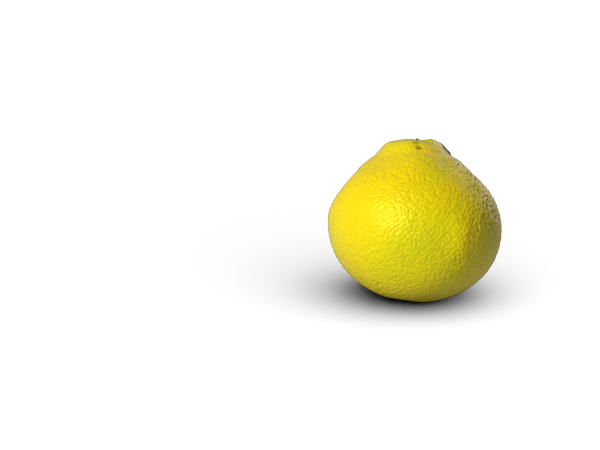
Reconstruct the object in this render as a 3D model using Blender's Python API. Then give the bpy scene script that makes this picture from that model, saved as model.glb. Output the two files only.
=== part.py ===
"""A whole bergamot orange with its dry calyx, resting on a small flat spot.

Units are metres and +Z is up. The origin is the centre of the resting spot. The fruit is shaped
in a frame of its own, whose +Z runs from the blossom end to the stem end, +X to the right and
+Y to the back, and is then leaned over and set down.
"""

import math

import bmesh
import bpy
from mathutils import Matrix, Vector

MM = 0.001
COLLECTION_NAME = "bergamot_orange"

# Body of the fruit: an oblate spheroid under a raised crown.
EQUATOR_RADIUS = 36.2 * MM
POLE_RADIUS = 31.5 * MM
LEAN_RIGHT = math.radians(8.0)
LEAN_BACK = math.radians(16.0)
FLOOR_BELOW_CENTRE = 31.1 * MM

# The raised crown at the stem end, wider on the left of the calyx than on its right. Leans,
# reaches and bearings are in degrees, seen from the fruit's centre.
CROWN_LEAN_RIGHT = -8.5
CROWN_LEAN_BACK = -1.0
FLARE_HEIGHT = 2.0 * MM
FLARE_INNER = 14.0
FLARE_OUTER = 46.0
COLLAR_HEIGHT = 2.9 * MM
COLLAR_INNER = 15.0
COLLAR_OUTER = 31.0

# The hollow that holds the calyx.
CALYX_LEAN_RIGHT = 3.5
CALYX_LEAN_BACK = 4.5
HOLLOW_DEPTH = 2.0 * MM
HOLLOW_INNER = 5.0
HOLLOW_OUTER = 10.5

# Smooth swellings and dips: lean to the right, lean to the back, reach (degrees), height (mm).
SWELLINGS = (
    (2.5, -7.0, 6.5, 0.9),  # knob in front of the calyx
    (9.0, -5.5, 5.5, 0.6),  # its right end
    (-12.0, -6.0, 12.0, 0.2),  # broad left shoulder
    (-24.5, 2.0, 8.0, 0.2),  # outer edge of the left shoulder
    (-9.0, 13.0, 9.0, 0.6),  # knob at the back left
    (9.0, 15.0, 8.0, 0.7),  # knob at the back right
    (13.0, 0.5, 7.0, -0.7),  # saddle on the right, under a sepal
    (25.0, 0.0, 9.0, 0.5),  # lobe outside the saddle
    (-6.0, -36.0, 26.0, 1.7),  # full front of the neck
    (-10.0, 40.0, 24.0, 1.1),  # full back of the neck
    (-66.0, 0.0, 24.0, -1.9),  # flattened upper left flank
    (41.0, 0.0, 20.0, -1.0),  # flattened upper right flank
    (113.0, 0.0, 30.0, 0.2),  # full lower right side
    (30.0, 60.0, 30.0, 0.6),  # full upper back
    (-20.0, 104.0, 34.0, -0.6),  # flattened lower back
    (-70.0, -50.0, 34.0, 0.5),  # full lower left front
)

# Furrows that run outward from the calyx: bearing about it, start and end (degrees), width and
# depth (mm). Bearing 0 is to the right, 90 to the back.
FURROWS = (
    (226.0, 4.0, 20.0, 2.4, 2.0),  # the deep cleft at the front left
    (262.0, 13.0, 27.0, 1.8, 0.3),
    (303.0, 8.0, 24.0, 2.2, 0.7),
    (345.0, 8.0, 17.0, 2.6, 0.4),
    (28.0, 8.0, 24.0, 2.2, 0.9),
    (72.0, 8.0, 26.0, 2.2, 1.0),
    (118.0, 8.0, 24.0, 2.4, 1.1),
    (158.0, 9.0, 28.0, 2.2, 0.8),
    (190.0, 8.0, 25.0, 2.0, 0.7),
)

# The blossom end: a shallow basin with the dry nub of the style in its middle.
BASIN_DEPTH = 0.9 * MM
BASIN_REACH = 18.0
NUB_HEIGHT = 0.6 * MM
NUB_REACH = 4.5

# Mesh of the fruit, finer towards the crown and around the resting spot.
SPHERE_SUBDIVISIONS = 5
FINE_REACH = 42.0
FINEST_REACH = 20.0
SPOT_REACH = 20.0

# The calyx: a button with the stem scar in its middle and five dry sepals.
CALYX_GAP = 0.35 * MM
BUTTON_RADIUS = 4.0 * MM
BUTTON_TOP_RADIUS = 2.2 * MM
BUTTON_RISE = 0.5 * MM
STEM_RADIUS = 2.0 * MM
STEM_TOP_RADIUS = 1.4 * MM
STEM_RISE = 0.4 * MM
SCAR_RADIUS = 1.3 * MM
SCAR_FLOOR_RADIUS = 0.5 * MM
SCAR_DEPTH = 0.5 * MM
SEPAL_THICKNESS = 0.6 * MM
SEPAL_POINT = 0.6
TIP_CURL_POWER = 3
RIM_SQUARENESS = 8
SEPAL_SPREAD = 31.0
CALYX_SEGMENTS = 70
CALYX_RINGS = 14

# Sepals: bearing (degrees), reach from the middle of the calyx (mm) and lift of the tip (mm).
SEPALS = (
    (329.0, 11.0, 0.2),
    (44.0, 6.9, 0.4),
    (116.0, 7.3, 0.3),
    (170.0, 6.0, 0.2),
    (220.0, 8.9, 0.8),
)

RIND_COLOUR = (0.62, 0.53, 0.012, 1.0)
RIND_ROUGHNESS = 0.4
CALYX_COLOUR = (0.13, 0.085, 0.04, 1.0)
CALYX_ROUGHNESS = 0.85


def toward(right, back):
    """The unit direction that leans from the fruit's axis by two angles in degrees."""
    right, back = math.radians(right), math.radians(back)
    return Vector((math.sin(right), math.cos(right) * math.sin(back), math.cos(right) * math.cos(back)))


CROWN_AXIS = toward(CROWN_LEAN_RIGHT, CROWN_LEAN_BACK)
CALYX_AXIS = toward(CALYX_LEAN_RIGHT, CALYX_LEAN_BACK)
CALYX_RIGHT = (Vector((1, 0, 0)) - CALYX_AXIS * CALYX_AXIS.x).normalized()
CALYX_BACK = CALYX_AXIS.cross(CALYX_RIGHT)
BLOSSOM_AXIS = Vector((0, 0, -1))
SWELLING_AXES = [toward(right, back) for right, back, _, _ in SWELLINGS]
LEAN = Matrix.Rotation(-LEAN_BACK, 3, "X") @ Matrix.Rotation(LEAN_RIGHT, 3, "Y")
DOWN_AXIS = LEAN.transposed() @ Vector((0, 0, -1))


def fall(value, inner, outer):
    """1 up to inner, 0 from outer, and a smooth slope between."""
    share = min(max((value - inner) / (outer - inner), 0.0), 1.0)
    return 1.0 - share * share * (3.0 - 2.0 * share)


def degrees_between(a, b):
    return math.degrees(a.angle(b))


def spheroid_radius(direction):
    across = direction.xy.length / EQUATOR_RADIUS
    along = direction.z / POLE_RADIUS
    return 1.0 / math.hypot(across, along)


def furrow_depth(direction, away):
    """Depth of the furrows at a direction that lies so many degrees from the calyx's axis."""
    x, y = direction.dot(CALYX_RIGHT), direction.dot(CALYX_BACK)
    depth = 0.0
    for bearing, start, end, width, deepest in FURROWS:
        angle = math.radians(bearing)
        ahead = x * math.cos(angle) + y * math.sin(angle)
        aside = abs(y * math.cos(angle) - x * math.sin(angle)) * EQUATOR_RADIUS / MM
        middle = (start + end) / 2
        if ahead > 0 and start < away < end and aside < width:
            along = fall(abs(away - middle), 0.0, (end - start) / 2)
            depth += deepest * MM * along * fall(aside, 0.0, width)
    return depth


def fruit_radius(direction):
    """Distance from the fruit's centre to its skin in one direction."""
    from_crown = degrees_between(direction, CROWN_AXIS)
    from_calyx = degrees_between(direction, CALYX_AXIS)
    from_blossom = degrees_between(direction, BLOSSOM_AXIS)
    radius = spheroid_radius(direction)
    radius += FLARE_HEIGHT * fall(from_crown, FLARE_INNER, FLARE_OUTER)
    radius += COLLAR_HEIGHT * fall(from_crown, COLLAR_INNER, COLLAR_OUTER)
    for axis, (_, _, reach, height) in zip(SWELLING_AXES, SWELLINGS):
        radius += height * MM * fall(degrees_between(direction, axis), 0.0, reach)
    radius -= HOLLOW_DEPTH * fall(from_calyx, HOLLOW_INNER, HOLLOW_OUTER)
    radius -= furrow_depth(direction, from_calyx)
    radius -= BASIN_DEPTH * fall(from_blossom, 0.0, BASIN_REACH)
    radius += NUB_HEIGHT * fall(from_blossom, 0.0, NUB_REACH)
    return radius


def resting_placement():
    """The matrix that leans the fruit over and sets the middle of its resting spot on the origin."""
    squared = Vector((EQUATOR_RADIUS**2, EQUATOR_RADIUS**2, POLE_RADIUS**2))
    lowest = DOWN_AXIS * squared
    lowest = LEAN @ (lowest / math.sqrt(DOWN_AXIS.dot(lowest)))
    return Matrix.Translation((-lowest.x, -lowest.y, FLOOR_BELOW_CENTRE)) @ LEAN.to_4x4()


def refine(mesh, axis, reach):
    """Halve the edges of a unit sphere that lie within so many degrees of an axis."""
    edges = [e for e in mesh.edges if all(degrees_between(v.co, axis) < reach for v in e.verts)]
    bmesh.ops.subdivide_edges(mesh, edges=edges, cuts=1, use_grid_fill=True)
    bmesh.ops.triangulate(mesh, faces=mesh.faces[:])
    for vertex in mesh.verts:
        vertex.co.normalize()


def material(name, colour, roughness):
    made = bpy.data.materials.new(name)
    made.use_nodes = True
    shader = made.node_tree.nodes["Principled BSDF"]
    shader.inputs["Base Color"].default_value = colour
    shader.inputs["Roughness"].default_value = roughness
    made.diffuse_color = colour
    return made


def add_object(name, mesh, finish, collection):
    """Turn a bmesh into a smooth-shaded object in the collection."""
    data = bpy.data.meshes.new(name)
    mesh.to_mesh(data)
    mesh.free()
    data.shade_smooth()
    data.materials.append(finish)
    made = bpy.data.objects.new(name, data)
    collection.objects.link(made)
    return made


def make_fruit(placement, collection):
    """The fruit: a sphere drawn out to the fruit's radius, flat where it rests."""
    mesh = bmesh.new()
    bmesh.ops.create_icosphere(mesh, subdivisions=SPHERE_SUBDIVISIONS, radius=1.0)
    refine(mesh, CROWN_AXIS, FINE_REACH)
    refine(mesh, CALYX_AXIS, FINEST_REACH)
    refine(mesh, DOWN_AXIS, SPOT_REACH)
    for vertex in mesh.verts:
        direction = vertex.co.normalized()
        vertex.co = placement @ (direction * fruit_radius(direction))
        vertex.co.z = max(vertex.co.z, 0.0)
    return add_object("fruit", mesh, material("rind", RIND_COLOUR, RIND_ROUGHNESS), collection)


def sepal_at(bearing):
    """Reach of the calyx's outline and lift of its tip at a bearing in degrees."""
    reach, lift = BUTTON_RADIUS, 0.0
    for middle, longest, tip_lift in SEPALS:
        off = abs((bearing - middle + 180.0) % 360.0 - 180.0) / SEPAL_SPREAD
        if off < 1.0:
            length = (longest * MM - BUTTON_RADIUS) * (1.0 - off) ** SEPAL_POINT
            reach = max(reach, BUTTON_RADIUS + length)
            lift = max(lift, tip_lift * MM * (1.0 - off))
    return reach, lift


def calyx_thickness(across):
    """Thickness of the calyx at a distance from its middle: sepals, button, stem and scar."""
    thickness = SEPAL_THICKNESS
    thickness += BUTTON_RISE * fall(across, BUTTON_TOP_RADIUS, BUTTON_RADIUS)
    thickness += STEM_RISE * fall(across, STEM_TOP_RADIUS, STEM_RADIUS)
    return thickness - SCAR_DEPTH * fall(across, SCAR_FLOOR_RADIUS, SCAR_RADIUS)


def calyx_point(share, turn, on_top):
    """Point of the calyx at a share of the way to its outline and a turn in radians."""
    reach, lift = sepal_at(math.degrees(turn) % 360.0)
    across = share * reach
    outward = CALYX_RIGHT * math.cos(turn) + CALYX_BACK * math.sin(turn)
    lean = across / EQUATOR_RADIUS
    direction = CALYX_AXIS * math.cos(lean) + outward * math.sin(lean)
    height = fruit_radius(direction) + CALYX_GAP + lift * share**TIP_CURL_POWER
    if on_top:
        height += calyx_thickness(across) * math.sqrt(max(1.0 - share**RIM_SQUARENESS, 0.0))
    return direction * height


def make_calyx(placement, collection):
    """The calyx: a flattened sphere drawn out into five sepals that follow the fruit's skin."""
    mesh = bmesh.new()
    bmesh.ops.create_uvsphere(mesh, u_segments=CALYX_SEGMENTS, v_segments=CALYX_RINGS, radius=1.0)
    for vertex in mesh.verts:
        turn = math.atan2(vertex.co.y, vertex.co.x)
        vertex.co = placement @ calyx_point(vertex.co.xy.length, turn, vertex.co.z > 0)
    bmesh.ops.triangulate(mesh, faces=mesh.faces[:])
    return add_object("calyx", mesh, material("dry_calyx", CALYX_COLOUR, CALYX_ROUGHNESS), collection)


def main():
    for old in list(bpy.data.objects):
        bpy.data.objects.remove(old, do_unlink=True)
    collection = bpy.data.collections.new(COLLECTION_NAME)
    bpy.context.scene.collection.children.link(collection)
    placement = resting_placement()
    make_fruit(placement, collection)
    make_calyx(placement, collection)


main()
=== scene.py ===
"""The looks of a whole bergamot orange: pitted rind, dry calyx, and a studio that looks white."""

import math
import random

import bmesh
import bpy
from mathutils import Matrix, Vector, interpolate, kdtree, noise
from mathutils.bvhtree import BVHTree


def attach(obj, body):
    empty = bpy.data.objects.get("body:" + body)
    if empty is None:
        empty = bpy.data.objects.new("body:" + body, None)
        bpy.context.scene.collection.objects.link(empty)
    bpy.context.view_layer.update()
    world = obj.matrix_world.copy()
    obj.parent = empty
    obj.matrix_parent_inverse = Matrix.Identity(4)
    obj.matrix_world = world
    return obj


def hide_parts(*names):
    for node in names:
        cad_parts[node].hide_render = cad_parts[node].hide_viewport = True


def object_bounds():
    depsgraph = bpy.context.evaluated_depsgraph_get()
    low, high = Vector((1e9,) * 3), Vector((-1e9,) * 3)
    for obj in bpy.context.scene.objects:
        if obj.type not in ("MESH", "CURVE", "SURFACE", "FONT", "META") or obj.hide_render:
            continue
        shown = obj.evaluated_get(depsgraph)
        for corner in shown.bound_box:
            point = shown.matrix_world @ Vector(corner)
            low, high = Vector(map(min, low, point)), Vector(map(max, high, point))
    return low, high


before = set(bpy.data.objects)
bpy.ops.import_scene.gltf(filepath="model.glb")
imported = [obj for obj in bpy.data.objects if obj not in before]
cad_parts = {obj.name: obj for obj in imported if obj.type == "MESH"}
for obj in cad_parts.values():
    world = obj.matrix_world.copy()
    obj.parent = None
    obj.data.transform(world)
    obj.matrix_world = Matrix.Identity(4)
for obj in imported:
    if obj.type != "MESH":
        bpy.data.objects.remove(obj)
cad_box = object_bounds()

MM = 0.001
SEED = 11

# The fruit's own frame, as the solids are built: its centre, its lean and where the calyx sits.
EQUATOR_RADIUS = 36.2 * MM
POLE_RADIUS = 31.5 * MM
LEAN_RIGHT = math.radians(8.0)
LEAN_BACK = math.radians(16.0)
FLOOR_BELOW_CENTRE = 31.1 * MM
CALYX_LEAN_RIGHT = 3.5
CALYX_LEAN_BACK = 4.5

# The photograph's frame. The fruit's centre is seen at this pixel of a 600 by 450 picture.
PICTURE_WIDTH = 600
PICTURE_HEIGHT = 450
CENTRE_PIXEL = (414.5, 227.0)
PIXEL_SIZE = 0.42 * MM
LENS = 100.0
SENSOR = 36.0
ELEVATION = math.radians(15.0)

# Spread of the oil glands: how many, how irregular, how even and how drawn towards the calyx.
# The cuts divide the edges of the net that joins them.
GLAND_COUNT = 6200
GOLDEN_ANGLE = math.pi * (3 - math.sqrt(5))
GLAND_JITTER = 0.25
GLAND_ROUNDS = 2
GLAND_NEIGHBOURS = 6
GLAND_PUSH = 0.25
GLAND_CROWDING = 0.03
EDGE_CUTS = 3

# Relief of the rind. The crown's and the wrinkles' starts and ends are degrees from the calyx's axis.
PIT_DEPTH = 0.3 * MM
PIT_REACH = 1.15 * MM
PIT_VARIETY = 0.35
PITS_FELT = 3
CROWN_PITS = 0.65
CROWN_START = 14.0
CROWN_END = 42.0
SWELL_DEPTH = 0.1 * MM
SWELL_SIZE = 3.6 * MM
RIPPLE_DEPTH = 0.08 * MM
RIPPLE_SIZE = 1.5 * MM
RIPPLE_SHIFT = Vector((7, 3, 5))
WRINKLE_DEPTH = 0.12 * MM
WRINKLE_SIZE = 1.1 * MM
WRINKLE_START = 8.0
WRINKLE_END = 22.0
SKIN_INSET = -0.2 * MM

# Smoothing of the solids' flat faces: the distance for welding corners, and the share of rounding.
WELD = 0.01 * MM
ROUNDING = 0.75

# Broad low forms: degrees right of the front, degrees above the middle, reach in degrees, height.
BULGES = (
    (28.0, 12.0, 13.0, 0.7 * MM),  # ridge right of the middle
    (27.0, 0.0, 13.0, 0.55 * MM),
    (31.0, 4.0, 24.0, 0.35 * MM),
    (-22.0, 52.0, 22.0, 0.3 * MM),  # upper left
    (8.0, -20.0, 18.0, 0.25 * MM),  # lower front
    (52.0, 36.0, 16.0, -0.25 * MM),  # dip in the upper right
    (72.0, 64.0, 10.0, 0.3 * MM),  # shoulder below the calyx
    (103.0, 40.0, 7.0, 0.3 * MM),  # shoulders on the right
    (106.0, 46.0, 14.0, 0.8 * MM),
    (-106.0, 46.0, 9.0, 0.3 * MM),  # shoulder on the left
    (11.0, 81.0, 3.8, -0.75 * MM),  # hollow beside the stem end
    (150.0, -12.0, 24.0, 0.4 * MM),  # swellings and a dip at the back
    (-135.0, 10.0, 22.0, 0.4 * MM),
    (-160.0, 40.0, 20.0, -0.4 * MM),
    (100.0, -30.0, 20.0, 0.3 * MM),  # lower right
)

# Where the pits are deeper or shallower, placed in the same way: the share added to their depth.
ROUGH_PATCHES = (
    (92.0, 32.0, 60.0, 1.0),
    (80.0, 56.0, 28.0, 0.4),
    (20.0, -35.0, 45.0, -0.4),
)

# Ripeness of the rind: 0 is green and 1 is golden. Its mottle is a fractal noise.
RIPE_BASE = 0.56
RIPE_MOTTLE = 0.24
RIPE_SIZE = 15 * MM
RIPE_FALLOFF = 0.9
RIPE_STEP = 2.0
RIPE_LEVELS = 4

# Patches of ripeness, placed in the same way: the amount added.
RIPE_PATCHES = (
    (-45.0, 48.0, 62.0, 0.46),  # golden crown and upper left
    (33.0, 36.0, 34.0, 0.22),  # golden upper right
    (31.0, 6.0, 20.0, 0.42),  # golden patch right of the middle
    (1.0, 0.0, 44.0, -0.48),  # green front
    (165.0, 20.0, 40.0, 0.35),  # golden back
    (-130.0, -15.0, 50.0, -0.45),  # green lower back
)

# Marks round the stem end, placed in the same way: corky skin, and dark stains that also paint the shade
# of the hollow beside the stem end.
CORK_PATCHES = (
    (40.0, 74.0, 15.0, 0.8),
    (150.0, 66.0, 15.0, 0.8),
)
STAIN_AND_SHADE_PATCHES = (
    (12.0, 81.0, 3.8, 0.95),
    (-5.0, 86.3, 3.8, 0.85),
)

# A pale rim of the rind round the calyx with a painted highlight on it: how far beyond the calyx's edge,
# and how wide.
RIM_HIGHLIGHT_BEYOND = 0.35 * MM
RIM_HIGHLIGHT_WIDTH = 0.9 * MM

# The calyx: a button with the stem scar in its middle and five dry sepals.
BUTTON_RADIUS = 3.9 * MM
BUTTON_TOP_RADIUS = 2.3 * MM
BUTTON_RISE = 0.55 * MM
STEM_RADIUS = 2.0 * MM
STEM_TOP_RADIUS = 1.5 * MM
STEM_RISE = 0.4 * MM
SCAR_RADIUS = 1.35 * MM
SCAR_FLOOR_RADIUS = 0.5 * MM
SCAR_DEPTH = 0.55 * MM
SCAR_FADE = 0.6
SEPAL_THICKNESS = 0.5 * MM
SEPAL_SPREAD = 31.0
SEPAL_POINT = 0.6
SEPAL_LIFT = 0.15 * MM
LIFT_START = 0.5 * BUTTON_RADIUS
LIFT_END = 1.3 * BUTTON_RADIUS
TIP_CURL_POWER = 3
RIM_SQUARENESS = 10
RIB_WIDTH = 0.25
RIB_HEIGHT = 0.12 * MM
CALYX_SEGMENTS = 220
CALYX_RINGS = 60
CALYX_BED = 0.12 * MM
EDGE_RAGGEDNESS = 0.35 * MM
EDGE_FINENESS = 9.0
EDGE_LAYER = 0.3
CRACK_DEPTH = 0.16 * MM
CRACK_SIZE = 1.3 * MM
CRACKS_ROUND = 3.0
CRACK_LAYER = 2.0
CRUMPLE_FINENESS = 40.0

# Sepals: bearing (degrees), reach from the middle of the calyx (mm) and lift of the tip (mm).
SEPALS = (
    (329.0, 11.0, 0.2),
    (44.0, 6.9, 0.4),
    (116.0, 7.3, 0.3),
    (170.0, 6.0, 0.2),
    (220.0, 8.9, 0.6),
)

# Colours, linear.
GOLDEN = (0.72, 0.53, 0.003)
YELLOW_GREEN = (0.63, 0.53, 0.004)
GREEN = (0.51, 0.49, 0.006)
# Painted shade: the rind's pits are darkened towards this colour by their depth.
PIT_SHADE_TINT = (0.32, 0.29, 0.004)
GLOSS_TINT = (1.0, 0.88, 0.15)
CORK_TINT = (0.90, 0.62, 0.03)
# Dark olive stain that also stands in for the shade of the hollow beside the stem end: partly painted
# shade.
STAIN_AND_SHADE_TINT = (0.085, 0.060, 0.005)
# Pale cream rim round the calyx, partly a painted highlight along its edge.
RIM_HIGHLIGHT_TINT = (0.78, 0.64, 0.30)
CALYX_DARK = (0.055, 0.030, 0.012)
CALYX_PALE = (0.27, 0.18, 0.085)
SCAR_PALE = (0.42, 0.31, 0.17)
FLOOR_GREY = (0.155, 0.155, 0.155)

# Colours over ripeness and over the calyx's mottle: position and colour.
RIND_STOPS = ((0.0, GREEN), (0.45, YELLOW_GREEN), (1.0, GOLDEN))
CALYX_STOPS = ((0.30, CALYX_DARK), (0.72, CALYX_PALE))

# Noises of the materials: size of their features and levels of detail.
FLECKS = (2.4 * MM, 4.0)
STREAKS = (1.2 * MM, 5.0)
GLOSS_PATCHES = (5.0 * MM, 3.0)
RIND_GRAIN = (0.45 * MM, 3.0)
CALYX_MOTTLE = (1.1 * MM, 5.0)
CALYX_GRAIN = (0.25 * MM, 4.0)
NOISE_MIDDLE = 0.5

# Bumps of the grain: height and strength.
RIND_BUMP = (0.05 * MM, 0.6)
CALYX_BUMP = (0.08 * MM, 0.8)

# Shares and settings of the rind's material, then of the calyx's and the table's.
FLECK_SHARE = 0.28
# How far painted shade darkens the deepest pits.
PIT_SHADE_SHARE = 0.2
MARK_STRENGTH = 1.6
RIND_ROUGHNESS = 0.30
ROUGHNESS_VARIETY = 0.16
RIND_IOR = 1.42
RIND_SPECULAR = 0.5
CORK_DULLNESS = 0.5
RIND_SUBSURFACE = 0.12
SUBSURFACE_RADIUS = (1.0, 0.7, 0.1)
SUBSURFACE_SCALE = 1.5 * MM
CALYX_ROUGHNESS = 0.82
CALYX_SPECULAR = 0.25
FLOOR_ROUGHNESS = 0.9
FLOOR_SPECULAR = 0.1
FLOOR_RADIUS = 1.5
FLOOR_SIDES = 64

# Light. Each source is placed by degrees right of the front and degrees above the level.
KEY_STRENGTH = 4.5
KEY_ANGLE = math.radians(14)
KEY_FROM = (-42.0, 29.5)
FLOOR_LIGHT_STRENGTH = 12.0
FLOOR_LIGHT_ANGLE = math.radians(84)
FLOOR_LIGHT_FROM = (16.0, 62.0)
PANEL_FROM = (141.0, 10.0)
PANEL_DISTANCE = 1.0
PANEL_WIDTH = 0.58
PANEL_HEIGHT = 0.8
PANEL_POWER = 4.6
PANEL_COLOUR = (1.0, 0.86, 0.58)
WHITE = (1.0, 1.0, 1.0, 1.0)
SKY_STRENGTH = 0.035
SHEEN_SHARE = 0.45


def toward(right, back):
    """The unit direction that leans from the fruit's axis by two angles in degrees."""
    right, back = math.radians(right), math.radians(back)
    return Vector((math.sin(right), math.cos(right) * math.sin(back), math.cos(right) * math.cos(back)))


def compass(right_of_front, above):
    """The unit direction at two angles in degrees: right of the front, and above the level."""
    turn, above = math.radians(right_of_front), math.radians(above)
    level = math.cos(above)
    return Vector((math.sin(turn) * level, -math.cos(turn) * level, math.sin(above)))


def resting_centre(lean):
    """Centre of the fruit's body above the resting spot at the origin."""
    down = lean.transposed() @ Vector((0, 0, -1))
    lowest = down * Vector((EQUATOR_RADIUS**2, EQUATOR_RADIUS**2, POLE_RADIUS**2))
    lowest = lean @ (lowest / math.sqrt(down.dot(lowest)))
    return Vector((-lowest.x, -lowest.y, FLOOR_BELOW_CENTRE))


LEAN = Matrix.Rotation(-LEAN_BACK, 3, "X") @ Matrix.Rotation(LEAN_RIGHT, 3, "Y")
CENTRE = resting_centre(LEAN)
CALYX_AXIS = LEAN @ toward(CALYX_LEAN_RIGHT, CALYX_LEAN_BACK)
FRUIT_RIGHT = LEAN @ Vector((1, 0, 0))
CALYX_RIGHT = (FRUIT_RIGHT - CALYX_AXIS * FRUIT_RIGHT.dot(CALYX_AXIS)).normalized()
CALYX_BACK = CALYX_AXIS.cross(CALYX_RIGHT)


def fall(value, inner, outer):
    """1 up to inner, 0 from outer, and a smooth slope between."""
    share = min(max((value - inner) / (outer - inner), 0.0), 1.0)
    return 1.0 - share * share * (3.0 - 2.0 * share)


def degrees_between(a, b):
    return math.degrees(a.angle(b))


def near(direction, right_of_front, above, reach):
    """1 at a compass direction, falling to 0 at its reach in degrees."""
    return fall(degrees_between(direction, compass(right_of_front, above)), 0.0, reach)


def noise_share(point):
    """Noise at a point, as a share from 0 to 1."""
    return noise.noise(point) * 0.5 + 0.5


def make_camera():
    """The photograph's camera: straight on, looking down a little, with the fruit right of the middle."""
    ahead = Vector((0, math.cos(ELEVATION), -math.sin(ELEVATION)))
    up = Vector((0, math.sin(ELEVATION), math.cos(ELEVATION)))
    distance = PIXEL_SIZE * PICTURE_WIDTH * LENS / SENSOR
    left_by = (CENTRE_PIXEL[0] - PICTURE_WIDTH / 2) * PIXEL_SIZE
    up_by = (CENTRE_PIXEL[1] - PICTURE_HEIGHT / 2) * PIXEL_SIZE
    data = bpy.data.cameras.new("camera")
    data.lens = LENS
    data.sensor_width = SENSOR
    camera = bpy.data.objects.new("camera", data)
    camera.location = CENTRE - Vector((left_by, 0, 0)) + up * up_by - ahead * distance
    camera.rotation_euler = (math.pi / 2 - ELEVATION, 0, 0)
    bpy.context.scene.collection.objects.link(camera)
    bpy.context.scene.camera = camera


def aim(light, source, distance):
    """Place a light in a compass direction from the fruit's centre and turn it to face the fruit."""
    direction = compass(*source)
    light.location = CENTRE + direction * distance
    light.rotation_euler = direction.to_track_quat("Z", "Y").to_euler()
    bpy.context.scene.collection.objects.link(light)


def add_sun(name, strength, angle, source):
    """A light from far away, in a compass direction. The wider its angle, the softer its shadow."""
    data = bpy.data.lights.new(name, "SUN")
    data.energy = strength
    data.angle = angle
    light = bpy.data.objects.new(name, data)
    aim(light, source, 1.0)
    return light


def make_lights(pieces, floor):
    """A key for the fruit, a softer light for the table, and a panel behind that gives sheen alone."""
    key = add_sun("key", KEY_STRENGTH, KEY_ANGLE, KEY_FROM)
    floor_light = add_sun("floor_light", FLOOR_LIGHT_STRENGTH, FLOOR_LIGHT_ANGLE, FLOOR_LIGHT_FROM)
    for light, lit in ((key, pieces), (floor_light, [floor])):
        group = bpy.data.collections.new("lit_by_" + light.name)
        for piece in lit:
            group.objects.link(piece)
        light.light_linking.receiver_collection = group
    data = bpy.data.lights.new("panel", "AREA")
    data.energy = PANEL_POWER
    data.color = PANEL_COLOUR
    data.shape = "RECTANGLE"
    data.size = PANEL_WIDTH
    data.size_y = PANEL_HEIGHT
    panel = bpy.data.objects.new("panel", data)
    panel.visible_diffuse = False
    aim(panel, PANEL_FROM, PANEL_DISTANCE)


def make_surround():
    """A studio that looks white, is partly mirrored in the rind and gives little light."""
    world = bpy.data.worlds.new("studio")
    world.use_nodes = True
    nodes, links = world.node_tree.nodes, world.node_tree.links
    seen = nodes["Background"]
    seen.inputs["Color"].default_value = WHITE
    seen.inputs["Strength"].default_value = 1.0
    lit = nodes.new("ShaderNodeBackground")
    lit.inputs["Color"].default_value = WHITE
    lit.inputs["Strength"].default_value = SKY_STRENGTH
    path = nodes.new("ShaderNodeLightPath")
    mirrored = math_node(nodes, links, "MULTIPLY", path.outputs["Is Glossy Ray"], SHEEN_SHARE)
    white = math_node(nodes, links, "ADD", path.outputs["Is Camera Ray"], mirrored)
    mix = nodes.new("ShaderNodeMixShader")
    links.new(white, mix.inputs[0])
    links.new(lit.outputs[0], mix.inputs[1])
    links.new(seen.outputs[0], mix.inputs[2])
    links.new(mix.outputs[0], nodes["World Output"].inputs["Surface"])
    bpy.context.scene.world = world
    bpy.context.scene.view_settings.view_transform = "Standard"


def new_material(name):
    """A material with a Principled shader, its nodes, its links and its object coordinates."""
    made = bpy.data.materials.new(name)
    made.use_nodes = True
    nodes, links = made.node_tree.nodes, made.node_tree.links
    place = nodes.new("ShaderNodeTexCoord").outputs["Object"]
    return made, nodes["Principled BSDF"], nodes, links, place


def noise_node(nodes, links, place, size, detail):
    """The value of a noise whose features are about the given size in metres."""
    made = nodes.new("ShaderNodeTexNoise")
    made.inputs["Scale"].default_value = 1.0 / size
    made.inputs["Detail"].default_value = detail
    links.new(place, made.inputs["Vector"])
    return made.outputs["Fac"]


def ramp_node(nodes, links, value, stops):
    """A colour ramp over a value: stops are (position, linear colour)."""
    made = nodes.new("ShaderNodeValToRGB")
    elements = made.color_ramp.elements
    while len(elements) < len(stops):
        elements.new(0.5)
    for element, (position, colour) in zip(elements, stops):
        element.position = position
        element.color = (*colour, 1.0)
    links.new(value, made.inputs["Fac"])
    return made.outputs["Color"]


def mix_node(nodes, links, factor, first, second):
    """Mix two colours by a factor. Each colour is a socket or a linear colour."""
    made = nodes.new("ShaderNodeMix")
    made.data_type = "RGBA"
    links.new(factor, made.inputs["Factor"])
    for name, colour in (("A", first), ("B", second)):
        socket = [s for s in made.inputs if s.name == name and s.type == "RGBA"][0]
        if isinstance(colour, tuple):
            socket.default_value = (*colour, 1.0)
        else:
            links.new(colour, socket)
    return [s for s in made.outputs if s.type == "RGBA"][0]


def math_node(nodes, links, operation, first, second, clamp=False):
    """A sum, difference or product of two values. Each value is a socket or a number."""
    made = nodes.new("ShaderNodeMath")
    made.operation = operation
    made.use_clamp = clamp
    for socket, value in zip(made.inputs, (first, second)):
        if isinstance(value, (int, float)):
            socket.default_value = value
        else:
            links.new(value, socket)
    return made.outputs[0]


def attribute_node(nodes, name):
    """A value stored with the mesh's vertices."""
    made = nodes.new("ShaderNodeAttribute")
    made.attribute_name = name
    return made.outputs["Fac"]


def add_bump(nodes, links, shader, height, distance, strength):
    """Shade the surface as if a value raised it, without changing its mesh."""
    made = nodes.new("ShaderNodeBump")
    made.inputs["Strength"].default_value = strength
    made.inputs["Distance"].default_value = distance
    links.new(height, made.inputs["Height"])
    links.new(made.outputs["Normal"], shader.inputs["Normal"])


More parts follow.
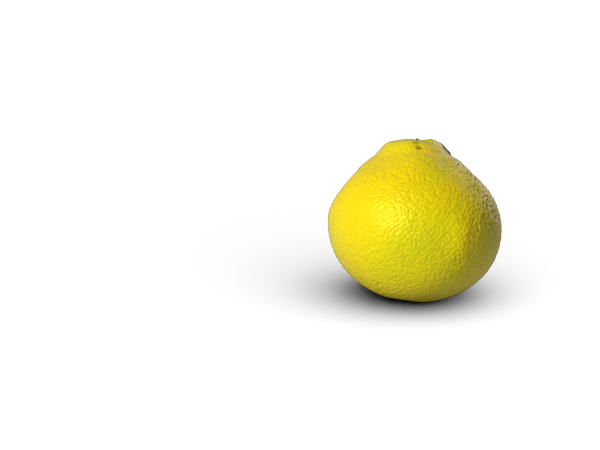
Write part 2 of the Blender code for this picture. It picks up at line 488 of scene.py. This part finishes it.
def make_rind_material():
    """Waxy rind: golden to green by ripeness, with painted shade in its pits, corky beside the calyx,
    with a painted highlight on a pale rim round it and painted shade in dark stains by the stem end.
    """
    made, shader, nodes, links, place = new_material("rind_look")
    flecks = noise_node(nodes, links, place, *FLECKS)
    flecks = math_node(nodes, links, "SUBTRACT", flecks, NOISE_MIDDLE)
    flecks = math_node(nodes, links, "MULTIPLY", flecks, FLECK_SHARE)
    ripe = math_node(nodes, links, "ADD", attribute_node(nodes, "ripeness"), flecks, clamp=True)
    colour = ramp_node(nodes, links, ripe, RIND_STOPS)
    # Painted shade in the pits: the deeper the pit, the darker the rind.
    pit = math_node(nodes, links, "MULTIPLY", attribute_node(nodes, "pit"), PIT_SHADE_SHARE)
    colour = mix_node(nodes, links, pit, colour, PIT_SHADE_TINT)
    streaks = noise_node(nodes, links, place, *STREAKS)
    # Corky skin is the rind's own colour. The pale rim paints a highlight round the calyx, and the dark
    # stains also paint the shade of the hollow beside the stem end.
    for name, tint in (("cork", CORK_TINT), ("rim_highlight", RIM_HIGHLIGHT_TINT), ("stain_and_shade", STAIN_AND_SHADE_TINT)):
        share = math_node(nodes, links, "MULTIPLY", attribute_node(nodes, name), streaks)
        share = math_node(nodes, links, "MULTIPLY", share, MARK_STRENGTH, clamp=True)
        colour = mix_node(nodes, links, share, colour, tint)
    links.new(colour, shader.inputs["Base Color"])
    roughness = noise_node(nodes, links, place, *GLOSS_PATCHES)
    roughness = math_node(nodes, links, "MULTIPLY", roughness, ROUGHNESS_VARIETY)
    roughness = math_node(nodes, links, "ADD", roughness, RIND_ROUGHNESS)
    links.new(roughness, shader.inputs["Roughness"])
    shader.inputs["IOR"].default_value = RIND_IOR
    cork = math_node(nodes, links, "MULTIPLY", attribute_node(nodes, "cork"), CORK_DULLNESS)
    shine = math_node(nodes, links, "SUBTRACT", RIND_SPECULAR, cork, clamp=True)
    links.new(shine, shader.inputs["Specular IOR Level"])
    shader.inputs["Specular Tint"].default_value = (*GLOSS_TINT, 1.0)
    shader.inputs["Subsurface Weight"].default_value = RIND_SUBSURFACE
    shader.inputs["Subsurface Radius"].default_value = SUBSURFACE_RADIUS
    shader.inputs["Subsurface Scale"].default_value = SUBSURFACE_SCALE
    grain = noise_node(nodes, links, place, *RIND_GRAIN)
    add_bump(nodes, links, shader, grain, *RIND_BUMP)
    return made


def make_calyx_material():
    """Dry brown tissue: dark and pale in patches, with a pale ring round the stem scar."""
    made, shader, nodes, links, place = new_material("dry_calyx_look")
    mottle = noise_node(nodes, links, place, *CALYX_MOTTLE)
    colour = ramp_node(nodes, links, mottle, CALYX_STOPS)
    colour = mix_node(nodes, links, attribute_node(nodes, "scar"), colour, SCAR_PALE)
    links.new(colour, shader.inputs["Base Color"])
    shader.inputs["Roughness"].default_value = CALYX_ROUGHNESS
    shader.inputs["Specular IOR Level"].default_value = CALYX_SPECULAR
    grain = noise_node(nodes, links, place, *CALYX_GRAIN)
    add_bump(nodes, links, shader, grain, *CALYX_BUMP)
    return made


class SmoothSurface:
    """A CAD node's surface, rounded between its flat faces, met along rays from the centre."""

    def __init__(self, mesh):
        self.mesh = bmesh.new()
        self.mesh.from_mesh(mesh)
        bmesh.ops.remove_doubles(self.mesh, verts=self.mesh.verts, dist=WELD)
        bmesh.ops.triangulate(self.mesh, faces=self.mesh.faces[:])
        self.mesh.normal_update()
        self.mesh.faces.ensure_lookup_table()
        self.tree = BVHTree.FromBMesh(self.mesh)

    def at(self, direction):
        """The point and the normal where a ray from the fruit's centre meets the surface."""
        hit, _, index, _ = self.tree.ray_cast(CENTRE, direction)
        corners = self.mesh.faces[index].verts
        weights = interpolate.poly_3d_calc([v.co for v in corners], hit)
        normal = Vector((0, 0, 0))
        rounded = Vector((0, 0, 0))
        for vertex, weight in zip(corners, weights):
            normal += vertex.normal * weight
            rounded += (hit - vertex.normal * (hit - vertex.co).dot(vertex.normal)) * weight
        return hit.lerp(rounded, ROUNDING), normal.normalized()


def gland_directions():
    """Evenly but irregularly spread unit directions, a little closer together at the crown."""
    draw = random.Random(SEED)
    spacing = math.sqrt(4 * math.pi / GLAND_COUNT)
    points = []
    for index in range(GLAND_COUNT):
        height = 1 - 2 * (index + 0.5) / GLAND_COUNT
        turn = index * GOLDEN_ANGLE
        across = math.sqrt(1 - height * height)
        point = Vector((across * math.cos(turn), across * math.sin(turn), height))
        jitter = Vector(draw.gauss(0, 1) for _ in range(3)) * spacing * GLAND_JITTER
        points.append((point + jitter).normalized())
    for _ in range(GLAND_ROUNDS):
        points = spread_out(points, spacing)
    return [crowd(point) for point in points]


def search_tree(points):
    """A tree that finds the points nearest to a place."""
    tree = kdtree.KDTree(len(points))
    for index, point in enumerate(points):
        tree.insert(point, index)
    tree.balance()
    return tree


def spread_out(points, spacing):
    """Push each point away from its nearest neighbours."""
    tree = search_tree(points)
    moved = []
    for point in points:
        push = Vector((0, 0, 0))
        for neighbour, _, distance in tree.find_n(point, GLAND_NEIGHBOURS + 1):
            if 0 < distance < spacing:
                push += (point - neighbour) / distance * (spacing - distance)
        moved.append((point + push * GLAND_PUSH).normalized())
    return moved


def crowd(direction):
    """Draw a direction towards the calyx, by a share of the sine of its angle from it."""
    angle = direction.angle(CALYX_AXIS)
    if angle in (0.0, math.pi):
        return direction
    closer = angle - GLAND_CROWDING * math.sin(angle)
    side = (direction - CALYX_AXIS * direction.dot(CALYX_AXIS)).normalized()
    return CALYX_AXIS * math.cos(closer) + side * math.sin(closer)


def gland_net(glands):
    """A ball of small triangles with a corner at every gland and more between them."""
    net = bmesh.new()
    for direction in glands:
        net.verts.new(direction)
    bmesh.ops.convex_hull(net, input=net.verts[:])
    bmesh.ops.delete(net, geom=[v for v in net.verts if not v.link_faces], context="VERTS")
    bmesh.ops.subdivide_edges(net, edges=net.edges[:], cuts=EDGE_CUTS, use_grid_fill=True)
    bmesh.ops.triangulate(net, faces=net.faces[:])
    bmesh.ops.recalc_face_normals(net, faces=net.faces[:])
    return net


def pit_at(direction, radius, glands, sizes):
    """Depth of the oil glands' pits in one direction, as a share of an average pit's depth."""
    pit = 0.0
    for _, index, chord in glands.find_n(direction, PITS_FELT):
        pit += sizes[index] * fall(chord * radius, 0.0, PIT_REACH)
    for *place, more in ROUGH_PATCHES:
        pit *= 1.0 + more * near(direction, *place)
    from_calyx = degrees_between(direction, CALYX_AXIS)
    return pit * (1.0 - CROWN_PITS * fall(from_calyx, CROWN_START, CROWN_END))


def rind_relief(point, direction, pit):
    """How far the rind lies below the fruit's smooth form at a point, given the depth of its pits."""
    from_calyx = degrees_between(direction, CALYX_AXIS)
    swell = noise_share(point / SWELL_SIZE)
    ripple = noise_share(point / RIPPLE_SIZE + RIPPLE_SHIFT)
    depth = SKIN_INSET + PIT_DEPTH * pit + SWELL_DEPTH * swell + RIPPLE_DEPTH * ripple
    wrinkled = fall(from_calyx, WRINKLE_START, WRINKLE_END)
    depth += WRINKLE_DEPTH * wrinkled * abs(noise.noise(point / WRINKLE_SIZE))
    for *place, height in BULGES:
        depth -= height * near(direction, *place)
    return depth


def calyx_rim_highlight(direction):
    """Paleness of the rind just beyond the calyx's outline: a pale rim with a painted highlight."""
    turn = math.atan2(direction.dot(CALYX_BACK), direction.dot(CALYX_RIGHT))
    reach, _, _ = sepal_at(math.degrees(turn) % 360.0)
    beyond = direction.angle(CALYX_AXIS) * EQUATOR_RADIUS - reach
    return fall(abs(beyond - RIM_HIGHLIGHT_BEYOND), 0.0, RIM_HIGHLIGHT_WIDTH)


def ripeness_at(point, direction):
    """Ripeness of the rind at a point, from 0 to 1."""
    mottle = noise.fractal(point / RIPE_SIZE, RIPE_FALLOFF, RIPE_STEP, RIPE_LEVELS)
    value = RIPE_BASE + RIPE_MOTTLE * mottle
    for *place, amount in RIPE_PATCHES:
        value += amount * near(direction, *place)
    return min(max(value, 0.0), 1.0)


def strongest(direction, patches):
    """The largest amount that any of the patches has in a direction."""
    return max(amount * near(direction, *place) for *place, amount in patches)


def add_piece(name, mesh, material, node):
    """Turn a bmesh into a piece that rides on the fruit and stands for a CAD node."""
    data = bpy.data.meshes.new(name)
    mesh.to_mesh(data)
    mesh.free()
    data.shade_smooth()
    data.materials.append(material)
    piece = bpy.data.objects.new(name, data)
    bpy.context.scene.collection.objects.link(piece)
    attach(piece, "root")
    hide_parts(node)
    return piece


def keep_inside(point, box):
    """Hold a point within a box of two corners."""
    low, high = box
    return Vector(min(max(value, a), b) for value, a, b in zip(point, low, high))


def make_rind(surface):
    """The fruit's skin, with every oil gland as a pit in its mesh."""
    draw = random.Random(SEED + 1)
    glands = gland_directions()
    sizes = [1.0 + PIT_VARIETY * draw.uniform(-1, 1) for _ in glands]
    tree = search_tree(glands)
    net = gland_net(glands)
    names = ("pit", "ripeness", "cork", "rim_highlight", "stain_and_shade")
    pits, ripe, corks, rim_highlights, stains_and_shade = [net.verts.layers.float.new(name) for name in names]
    for vertex in net.verts:
        direction = vertex.co.normalized()
        smooth, normal = surface.at(direction)
        pit = pit_at(direction, (smooth - CENTRE).length, tree, sizes)
        depth = rind_relief(smooth, direction, pit)
        vertex.co = keep_inside(smooth - normal * depth, cad_box)
        vertex[pits] = pit
        vertex[ripe] = ripeness_at(smooth, direction)
        vertex[corks] = strongest(direction, CORK_PATCHES)
        vertex[rim_highlights] = calyx_rim_highlight(direction)
        vertex[stains_and_shade] = strongest(direction, STAIN_AND_SHADE_PATCHES)
    return add_piece("rind", net, make_rind_material(), "fruit")


def sepal_at(bearing):
    """Reach of the calyx's outline, lift of its tip and nearness to a sepal's rib."""
    reach, lift, rib = BUTTON_RADIUS, 0.0, 0.0
    for middle, longest, tip_lift in SEPALS:
        off = abs((bearing - middle + 180.0) % 360.0 - 180.0) / SEPAL_SPREAD
        if off < 1.0:
            length = (longest * MM - BUTTON_RADIUS) * (1.0 - off) ** SEPAL_POINT
            reach = max(reach, BUTTON_RADIUS + length)
            lift = max(lift, tip_lift * MM * (1.0 - off))
            rib = max(rib, fall(off, 0.0, RIB_WIDTH))
    return reach, lift, rib


def calyx_thickness(across):
    """Thickness of the calyx at a distance from its middle: sepals, button, stem and scar."""
    thickness = SEPAL_THICKNESS
    thickness += BUTTON_RISE * fall(across, BUTTON_TOP_RADIUS, BUTTON_RADIUS)
    thickness += STEM_RISE * fall(across, STEM_TOP_RADIUS, STEM_RADIUS)
    return thickness - SCAR_DEPTH * fall(across, SCAR_FLOOR_RADIUS, SCAR_RADIUS)


def calyx_point(surface, share, turn, on_top):
    """A point of the calyx and its distance from the middle, at a share of the way to its edge."""
    reach, lift, rib = sepal_at(math.degrees(turn) % 360.0)
    if reach > BUTTON_RADIUS:
        around = Vector((math.cos(turn), math.sin(turn), EDGE_LAYER))
        reach += EDGE_RAGGEDNESS * noise.noise(around * EDGE_FINENESS)
    across = share * reach
    outward = CALYX_RIGHT * math.cos(turn) + CALYX_BACK * math.sin(turn)
    lean = across / EQUATOR_RADIUS
    direction = CALYX_AXIS * math.cos(lean) + outward * math.sin(lean)
    smooth, _ = surface.at(direction)
    raised = SEPAL_LIFT * (1.0 - fall(across, LIFT_START, LIFT_END))
    height = (smooth - CENTRE).length - CALYX_BED + raised + lift * share**TIP_CURL_POWER
    if on_top:
        thickness = calyx_thickness(across) + RIB_HEIGHT * rib * share
        crack = abs(noise.noise(Vector((turn * CRACKS_ROUND, across / CRACK_SIZE, CRACK_LAYER))))
        crumple = noise.noise(direction * CRUMPLE_FINENESS)
        thickness += CRACK_DEPTH * (crumple - crack)
        height += thickness * math.sqrt(max(1.0 - share**RIM_SQUARENESS, 0.0))
    return CENTRE + direction * height, across


def make_calyx(surface):
    """The calyx: a flattened sphere drawn out into five dry sepals that lie on the rind."""
    mesh = bmesh.new()
    bmesh.ops.create_uvsphere(mesh, u_segments=CALYX_SEGMENTS, v_segments=CALYX_RINGS, radius=1.0)
    scars = mesh.verts.layers.float.new("scar")
    for vertex in mesh.verts:
        turn = math.atan2(vertex.co.y, vertex.co.x)
        vertex.co, across = calyx_point(surface, vertex.co.xy.length, turn, vertex.co.z > 0)
        ring = fall(across, STEM_TOP_RADIUS, STEM_RADIUS)
        vertex[scars] = ring * (1.0 - SCAR_FADE * fall(across, 0.0, SCAR_RADIUS))
    bmesh.ops.triangulate(mesh, faces=mesh.faces[:])
    return add_piece("dry_calyx", mesh, make_calyx_material(), "calyx")


def make_floor():
    """A table top that the picture shows only by the fruit's shadow on it."""
    mesh = bmesh.new()
    bmesh.ops.create_circle(mesh, cap_ends=True, segments=FLOOR_SIDES, radius=FLOOR_RADIUS)
    data = bpy.data.meshes.new("table_top")
    mesh.to_mesh(data)
    mesh.free()
    made = bpy.data.materials.new("table_grey")
    made.use_nodes = True
    shader = made.node_tree.nodes["Principled BSDF"]
    shader.inputs["Base Color"].default_value = (*FLOOR_GREY, 1.0)
    shader.inputs["Roughness"].default_value = FLOOR_ROUGHNESS
    shader.inputs["Specular IOR Level"].default_value = FLOOR_SPECULAR
    data.materials.append(made)
    floor = bpy.data.objects.new("table_top", data)
    bpy.context.scene.collection.objects.link(floor)
    floor.is_shadow_catcher = True
    return floor


make_camera()
fruit_surface = SmoothSurface(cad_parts["fruit"].data)
make_lights([make_rind(fruit_surface), make_calyx(fruit_surface)], make_floor())
make_surround()
